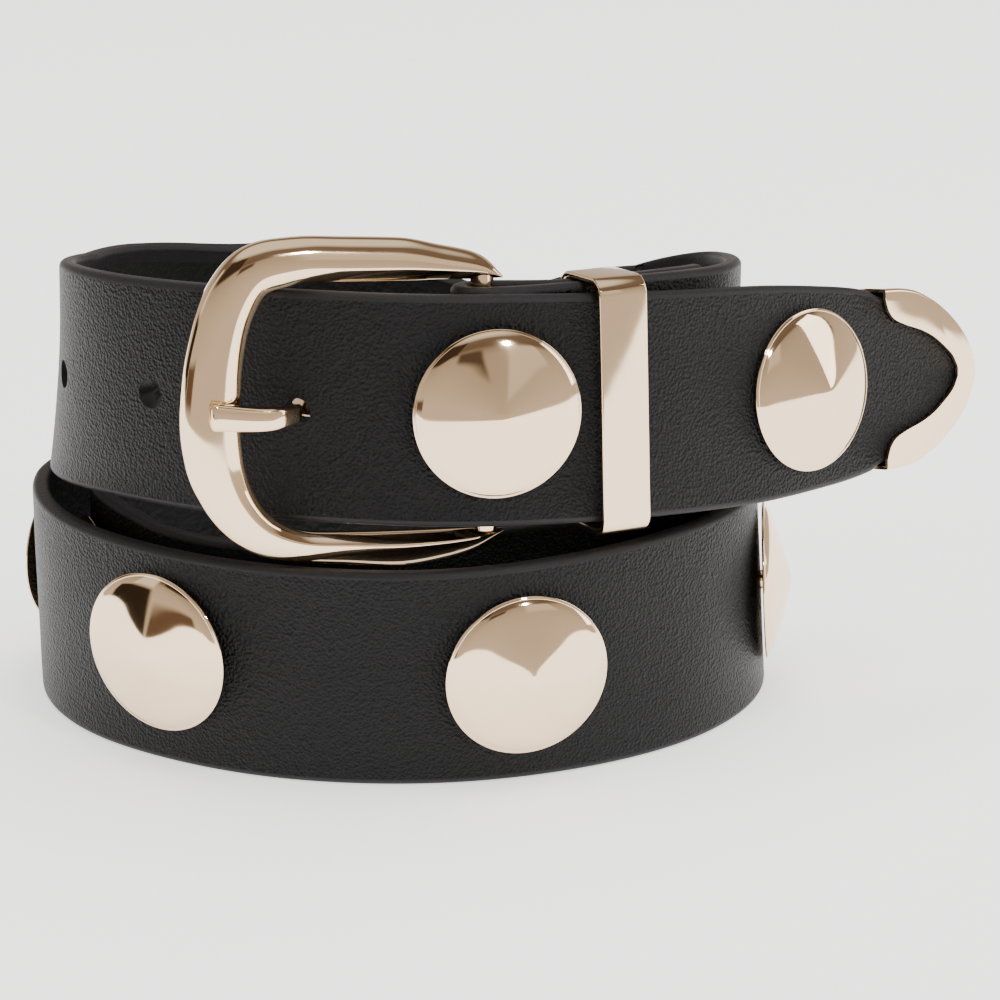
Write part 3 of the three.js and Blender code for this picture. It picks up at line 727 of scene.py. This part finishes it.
def make_prong():
    back = np.linalg.inv(BUCKLE)
    origin, along, across, out = strap_at(FIRST_HOLE_PLACE)
    origin = origin - across * FIRST_HOLE_DROP
    half = PRONG_THICKNESS / 2

    def level(depth):
        return back[:3, :3] @ (origin + out * depth) + back[:3, 3]

    inner, outer = level(-STRAP_THICKNESS - PIECE_GAP - half), level(PIECE_GAP + half)
    rest = FRAME_THICKNESS / 2 + PIECE_GAP + half
    eye = BAR_RADIUS + PIECE_GAP + PRONG_RING / 2
    rows = [
        (-eye, 0.0, 0.0, PRONG_WIDTH),
        (-2 * eye, inner[1] / 4, inner[2] / 4, PRONG_WIDTH),
        (inner[0] + PRONG_WIDTH, inner[1], inner[2], PRONG_WIDTH),
        (inner[0], inner[1], inner[2], PRONG_NECK),
        (outer[0], outer[1], outer[2] - 0.4, PRONG_NECK),
        (outer[0] - 1.5 * PRONG_NECK, outer[1], rest, 0.85 * PRONG_WIDTH),
        (-FRAME_REACH - PRONG_OVERHANG, PRONG_RISE, rest, PRONG_WIDTH),
    ]
    rows = np.array(rows)
    steps = np.concatenate([[0], np.cumsum(np.linalg.norm(np.diff(rows[:, :3], axis=0), axis=1))])
    table = np.column_stack([steps, rows])
    fine = np.linspace(0, steps[-1], 120)
    values = np.stack([read_table(table, c, fine) for c in (1, 2, 3, 4)], -1)
    path = values[:, :3]
    run = np.gradient(path, axis=0)
    normals = unit(np.stack([-run[:, 2], 0 * fine, run[:, 0]], -1)) * -1
    end = np.clip((steps[-1] - fine) / 0.6, 0, 1)
    shrink = 1 - 0.35 * (1 - np.sqrt(1 - (1 - end) ** 2))
    sections = [round_section(w * k, PRONG_THICKNESS * k, 0.55 * k, 0.45 * k, 5)
                for w, k in zip(values[:, 3], shrink)]
    piece = sweep_along("belt_prong", path, sections, normals, np.array([0.0, 1.0, 0.0]), BUCKLE)
    angle = np.arange(48) * 2 * math.pi / 48
    radial = np.stack([np.cos(angle), 0 * angle, np.sin(angle)], -1)
    ring = round_section(PRONG_WIDTH, PRONG_RING, 0.4, 0.0, 4)
    eye_piece = sweep_along("eye", radial * eye, [ring] * 48, radial, np.array([0.0, 1.0, 0.0]), BUCKLE, True)
    merge(piece, eye_piece)
    piece.data.set_sharp_from_angle(angle=math.radians(45))
    return piece


def make_keeper():
    depth = 3 * STRAP_THICKNESS + 2 * PIECE_GAP + 2 * KEEPER_SLACK
    height = STRAP_WIDTH + 2 * KEEPER_SLACK
    middle = KEEPER_WALL / 2
    half_d, half_h = depth / 2 + middle, height / 2 + middle
    radius = KEEPER_CORNER - middle
    loop, normals = [], []
    for cx, cy, start in ((1, -1, 270), (1, 1, 0), (-1, 1, 90), (-1, -1, 180)):
        for a in np.radians(np.linspace(start, start + 90, 12)):
            direction = np.array([0.0, math.sin(a), math.cos(a)])
            corner = np.array([0.0, cy * (half_h - radius), cx * (half_d - radius)])
            loop.append(corner + direction * radius)
            normals.append(direction)
    section = round_section(KEEPER_BAND, KEEPER_WALL, 0.35, 0.12, 5)
    tilt = math.radians(KEEPER_TILT)
    turn = np.eye(4)
    turn[:2, :2] = [[math.cos(tilt), -math.sin(tilt)], [math.sin(tilt), math.cos(tilt)]]
    turn[2, 3] = KEEPER_SLACK - depth / 2
    matrix = seat(*strap_at(KEEPER_PLACE), rise=KEEPER_RISE) @ turn
    piece = sweep_along("belt_keeper", loop, [section] * len(loop), normals,
                        np.array([1.0, 0.0, 0.0]), matrix, True)
    piece.data.set_sharp_from_angle(angle=math.radians(40))
    return piece


def cap_outline(rows, inset, count):
    """Half an outline of the tip from its open end to its point, moved in by an inset, then its mirror."""
    points = np.column_stack([rows[:, 0] * CAP_LENGTH, rows[:, 1] * CAP_HEIGHT / 2])
    steps = np.concatenate([[0], np.cumsum(np.linalg.norm(np.diff(points, axis=0), axis=1))])
    table = np.column_stack([steps, points])
    fine = np.linspace(0, steps[-1], count)
    line = np.stack([read_table(table, 1, fine), read_table(table, 2, fine)], -1)
    run = unit(np.gradient(line, axis=0))
    line = line + np.stack([run[:, 1], -run[:, 0]], -1) * inset
    return np.concatenate([line * [1, -1], line[::-1]])


def slab(name, levels, matrix):
    """A body through one outline at (level, inset outline) pairs."""
    points = [np.column_stack([shape, np.full(len(shape), level)]) for level, shape in levels]
    count = len(levels[0][1])
    piece = to_mesh(name, np.concatenate(points), sweep_faces(len(levels), count), matrix)
    flip_if_inside_out(piece)
    return piece


def make_cap():
    matrix = seat(*strap_at(CAP_LENGTH - CAP_BEYOND))
    room = STRAP_THICKNESS + 2 * PIECE_GAP
    back = -STRAP_THICKNESS - PIECE_GAP - CAP_WALL
    front = PIECE_GAP + CAP_WALL
    soft = 0.55
    levels = []
    for a in np.radians(np.linspace(0, 90, 6)):
        levels.append((back + soft * (1 - math.sin(a)), cap_outline(CAP_ROWS, soft * (1 - math.cos(a)), 40)))
    levels = levels[::-1]
    for a in np.radians(np.linspace(0, 90, 6)):
        levels.append((front - soft * (1 - math.sin(a)), cap_outline(CAP_ROWS, soft * (1 - math.cos(a)), 40)))
    body = slab("belt_tip_cap", levels, matrix)

    def mouth(shape):
        first, last = shape[0].copy(), shape[-1].copy()
        first[0] = last[0] = -CAP_WALL
        return np.concatenate([[first], shape, [last]])

    pocket = mouth(cap_outline(CAP_ROWS, CAP_WALL, 40))
    scallop = mouth(cap_outline(SCALLOP_ROWS, 0, 60))
    cutters = [
        slab("cutter", [(back + CAP_WALL, pocket), (back + CAP_WALL + room, pocket)], matrix),
        slab("cutter", [(0.0, scallop), (front + 1, scallop)], matrix),
    ]
    half = CAP_HEIGHT / 2
    plate = np.array([(-CAP_BACK_EXTRA, -half), (CAP_WALL, -half), (CAP_WALL, half), (-CAP_BACK_EXTRA, half)])
    merge(body, slab("plate", [(back, plate), (back + CAP_WALL, plate)], matrix))
    cut(body, cutters)
    body.data.set_sharp_from_angle(angle=math.radians(35))
    return body


def new_material(name):
    material = bpy.data.materials.new(name)
    material.use_nodes = True
    nodes, links = material.node_tree.nodes, material.node_tree.links
    return material, nodes, links, nodes["Principled BSDF"]


def node(nodes, kind, **settings):
    made = nodes.new(kind)
    for key, value in settings.items():
        if key in made.inputs:
            made.inputs[key].default_value = value
        else:
            setattr(made, key, value)
    return made


def leather_material(name, tone, rough, grain, depth):
    material, nodes, links, shader = new_material(name)
    place = nodes.new("ShaderNodeTexCoord")
    cells = node(nodes, "ShaderNodeTexVoronoi", Scale=grain, Randomness=1.0)
    cells.feature = "SMOOTH_F1"
    cells.inputs["Smoothness"].default_value = 0.6
    fine = node(nodes, "ShaderNodeTexNoise", Scale=grain * 2.3, Detail=3.0, Roughness=0.6)
    broad = node(nodes, "ShaderNodeTexNoise", Scale=45.0, Detail=2.0, Roughness=0.5)
    for texture in (cells, fine, broad):
        links.new(place.outputs["Object"], texture.inputs["Vector"])
    mix = node(nodes, "ShaderNodeMath", operation="MULTIPLY_ADD")
    links.new(fine.outputs["Fac"], mix.inputs[0])
    mix.inputs[1].default_value = 0.5
    links.new(cells.outputs["Distance"], mix.inputs[2])
    bump = node(nodes, "ShaderNodeBump", Strength=depth, Distance=0.0004)
    links.new(mix.outputs[0], bump.inputs["Height"])
    links.new(bump.outputs["Normal"], shader.inputs["Normal"])
    ramp = nodes.new("ShaderNodeValToRGB")
    ramp.color_ramp.elements[0].color = (*[0.82 * c for c in tone], 1)
    ramp.color_ramp.elements[1].color = (*[1.18 * c for c in tone], 1)
    links.new(broad.outputs["Fac"], ramp.inputs["Fac"])
    links.new(ramp.outputs["Color"], shader.inputs["Base Color"])
    shine = node(nodes, "ShaderNodeMapRange")
    shine.inputs["To Min"].default_value = rough - 0.05
    shine.inputs["To Max"].default_value = rough + 0.07
    links.new(broad.outputs["Fac"], shine.inputs["Value"])
    links.new(shine.outputs["Result"], shader.inputs["Roughness"])
    shader.inputs["Specular IOR Level"].default_value = 0.2
    return material


def gold_material(name, rough):
    material, nodes, links, shader = new_material(name)
    shader.inputs["Base Color"].default_value = (1.0, 0.76, 0.50, 1)
    shader.inputs["Metallic"].default_value = 1.0
    place = nodes.new("ShaderNodeTexCoord")
    wear = node(nodes, "ShaderNodeTexNoise", Scale=160.0, Detail=4.0, Roughness=0.6)
    links.new(place.outputs["Object"], wear.inputs["Vector"])
    shine = node(nodes, "ShaderNodeMapRange")
    shine.inputs["To Min"].default_value = rough - 0.02
    shine.inputs["To Max"].default_value = rough + 0.03
    links.new(wear.outputs["Fac"], shine.inputs["Value"])
    links.new(shine.outputs["Result"], shader.inputs["Roughness"])
    swell = node(nodes, "ShaderNodeTexNoise", Scale=110.0, Detail=1.0)
    links.new(place.outputs["Object"], swell.inputs["Vector"])
    bump = node(nodes, "ShaderNodeBump", Strength=0.12, Distance=0.0002)
    links.new(swell.outputs["Fac"], bump.inputs["Height"])
    links.new(bump.outputs["Normal"], shader.inputs["Normal"])
    return material


LEATHER = leather_material("leather_face", (0.004, 0.004, 0.0045), 0.38, 1900.0, 1.0)
LEATHER_EDGE = leather_material("leather_edge", (0.016, 0.015, 0.016), 0.45, 2500.0, 0.2)
LEATHER_BACK = leather_material("leather_back", (0.013, 0.013, 0.013), 0.6, 900.0, 0.9)
GOLD = gold_material("gold_metal", 0.06)


def dress(piece, nodes, material=None):
    if material is not None:
        piece.data.materials.clear()
        piece.data.materials.append(material)
    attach(piece, "root")
    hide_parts(*nodes)


dress(make_strap(), ["strap"])
dress(make_frame(), ["buckle_frame"], GOLD)
dress(make_prong(), ["prong"], GOLD)
dress(make_keeper(), ["keeper"], GOLD)
dress(make_cap(), ["tip_cap"], GOLD)
for number, (place, rise) in enumerate(stud_places(), 1):
    dress(make_stud(place, rise, number), [f"stud_{number:02d}"], GOLD)

# Floor, light and camera
FLOOR_FRONT, FLOOR_BACK, FLOOR_SIDE = -0.45, 3.0, 1.8
FLOOR_TONE, FLOOR_GLOW = 0.86, 1.0
floor_mesh = bpy.data.meshes.new("floor")
floor_mesh.from_pydata([(-FLOOR_SIDE, FLOOR_FRONT, 0), (FLOOR_SIDE, FLOOR_FRONT, 0),
                        (FLOOR_SIDE, FLOOR_BACK, 0), (-FLOOR_SIDE, FLOOR_BACK, 0)], [], [(0, 1, 2, 3)])
floor = bpy.data.objects.new("floor", floor_mesh)
bpy.context.scene.collection.objects.link(floor)
floor_material, _, _, floor_shader = new_material("floor")
floor_shader.inputs["Base Color"].default_value = (FLOOR_TONE, FLOOR_TONE, FLOOR_TONE, 1)
floor_shader.inputs["Roughness"].default_value = 0.9
floor_shader.inputs["Specular IOR Level"].default_value = 0.1
floor_shader.inputs["Emission Color"].default_value = (1, 1, 1, 1)
floor_shader.inputs["Emission Strength"].default_value = FLOOR_GLOW
floor.data.materials.append(floor_material)

world = bpy.data.worlds.new("studio")
bpy.context.scene.world = world
world.use_nodes = True
sky_nodes, sky_links = world.node_tree.nodes, world.node_tree.links
sky = sky_nodes["Background"]
direction = sky_nodes.new("ShaderNodeTexCoord")
split = sky_nodes.new("ShaderNodeSeparateXYZ")
sky_links.new(direction.outputs["Generated"], split.inputs[0])
height = sky_nodes.new("ShaderNodeValToRGB")
# Height as a share of the way straight up, and colour.
SKY_BANDS = [(0.0, (0.74, 0.65, 0.58)), (0.24, (0.62, 0.54, 0.47)), (0.5, (0.48, 0.41, 0.35)),
             (0.6, (0.16, 0.12, 0.09)), (0.8, (0.20, 0.16, 0.13)), (0.9, (0.95, 0.90, 0.85))]
while len(height.color_ramp.elements) < len(SKY_BANDS):
    height.color_ramp.elements.new(0.5)
for stop, (place, tone) in zip(height.color_ramp.elements, SKY_BANDS):
    stop.position, stop.color = place, (*tone, 1)
sky_links.new(split.outputs["Z"], height.inputs["Fac"])
away = node(sky_nodes, "ShaderNodeMath", operation="MULTIPLY")
away.inputs[1].default_value = -1.0
turn = node(sky_nodes, "ShaderNodeMath", operation="ARCTAN2")
lift = node(sky_nodes, "ShaderNodeMath", operation="ARCSINE")
sky_links.new(split.outputs["Y"], away.inputs[0])
sky_links.new(split.outputs["X"], turn.inputs[0])
sky_links.new(away.outputs[0], turn.inputs[1])
sky_links.new(split.outputs["Z"], lift.inputs[0])


def closeness(angle, middle, half):
    """One inside the span, nought outside it, with a narrow soft edge. Angles in degrees."""
    apart = node(sky_nodes, "ShaderNodeMath", operation="SUBTRACT")
    sky_links.new(angle, apart.inputs[0])
    apart.inputs[1].default_value = math.radians(middle)
    size = node(sky_nodes, "ShaderNodeMath", operation="ABSOLUTE")
    sky_links.new(apart.outputs[0], size.inputs[0])
    share = node(sky_nodes, "ShaderNodeMapRange")
    share.inputs["From Min"].default_value = math.radians(half + 1.5)
    share.inputs["From Max"].default_value = math.radians(half - 1.5)
    sky_links.new(size.outputs[0], share.inputs["Value"])
    return share.outputs["Result"]


# Dark and bright cloths round the set, mirrored in the metal.
# Each row: turn from the front and height of the middle, half width, half height in degrees, colour.
SKY_CLOTHS = [
    (-82, 5, 16, 8, (0.03, 0.022, 0.015)),
    (-48, 1, 15, 4, (0.14, 0.09, 0.06)),
    (7, 29, 9, 4, (0.10, 0.075, 0.055)),
    (96, 20, 12, 7, (0.07, 0.045, 0.03)),
    (-30, 44, 26, 11, (0.05, 0.035, 0.025)),
    (-75, 30, 10, 14, (0.95, 0.90, 0.84)),
    (45, 25, 12, 8, (0.80, 0.72, 0.64)),
]
colour = height.outputs["Color"]
for turned, lifted, half_width, half_height, tone in SKY_CLOTHS:
    inside = node(sky_nodes, "ShaderNodeMath", operation="MULTIPLY")
    sky_links.new(closeness(turn.outputs[0], turned, half_width), inside.inputs[0])
    sky_links.new(closeness(lift.outputs[0], lifted, half_height), inside.inputs[1])
    cloth = node(sky_nodes, "ShaderNodeMix", data_type="RGBA")
    cloth_in = [socket for socket in cloth.inputs if socket.type == "RGBA"]
    cloth_in[1].default_value = (*tone, 1)
    sky_links.new(inside.outputs[0], cloth.inputs["Factor"])
    sky_links.new(colour, cloth_in[0])
    colour = [socket for socket in cloth.outputs if socket.type == "RGBA"][0]
sky_links.new(colour, sky.inputs["Color"])
sky.inputs["Strength"].default_value = 1.0


def area_light(name, place, target, size, power, mirrored=True, tone=(1, 1, 1)):
    data = bpy.data.lights.new(name, "AREA")
    data.shape = "RECTANGLE"
    data.size, data.size_y = size
    data.energy = power
    data.color = tone
    lamp = bpy.data.objects.new(name, data)
    lamp.location = place
    lamp.rotation_euler = (Vector(target) - Vector(place)).to_track_quat("-Z", "Y").to_euler()
    lamp.visible_glossy = mirrored
    bpy.context.scene.collection.objects.link(lamp)


TARGET = (0, 0, 0.04)
area_light("top_light", (0.2, 0.3, 1.7), TARGET, (1.8, 1.8), 50, mirrored=False)
area_light("key_light", (0.66, -1.0, 0.95), TARGET, (0.09, 0.09), 7)
area_light("left_light", (-1.3, -0.5, 0.5), TARGET, (0.4, 0.4), 7, mirrored=False)
area_light("right_light", (1.3, 0.1, 0.6), TARGET, (0.5, 0.9), 5)

CAMERA_PLACE = np.array([17.173, -624.159, 225.890])
CAMERA_DOWN = 17.196
camera_data = bpy.data.cameras.new("camera")
camera_data.sensor_width = 36
camera_data.lens = 133.64
camera = bpy.data.objects.new("camera", camera_data)
camera.location = Vector((CAMERA_PLACE - SHIFT) * MM)
camera.rotation_euler = (math.radians(90 - CAMERA_DOWN), 0, 0)
bpy.context.scene.collection.objects.link(camera)
bpy.context.scene.camera = camera
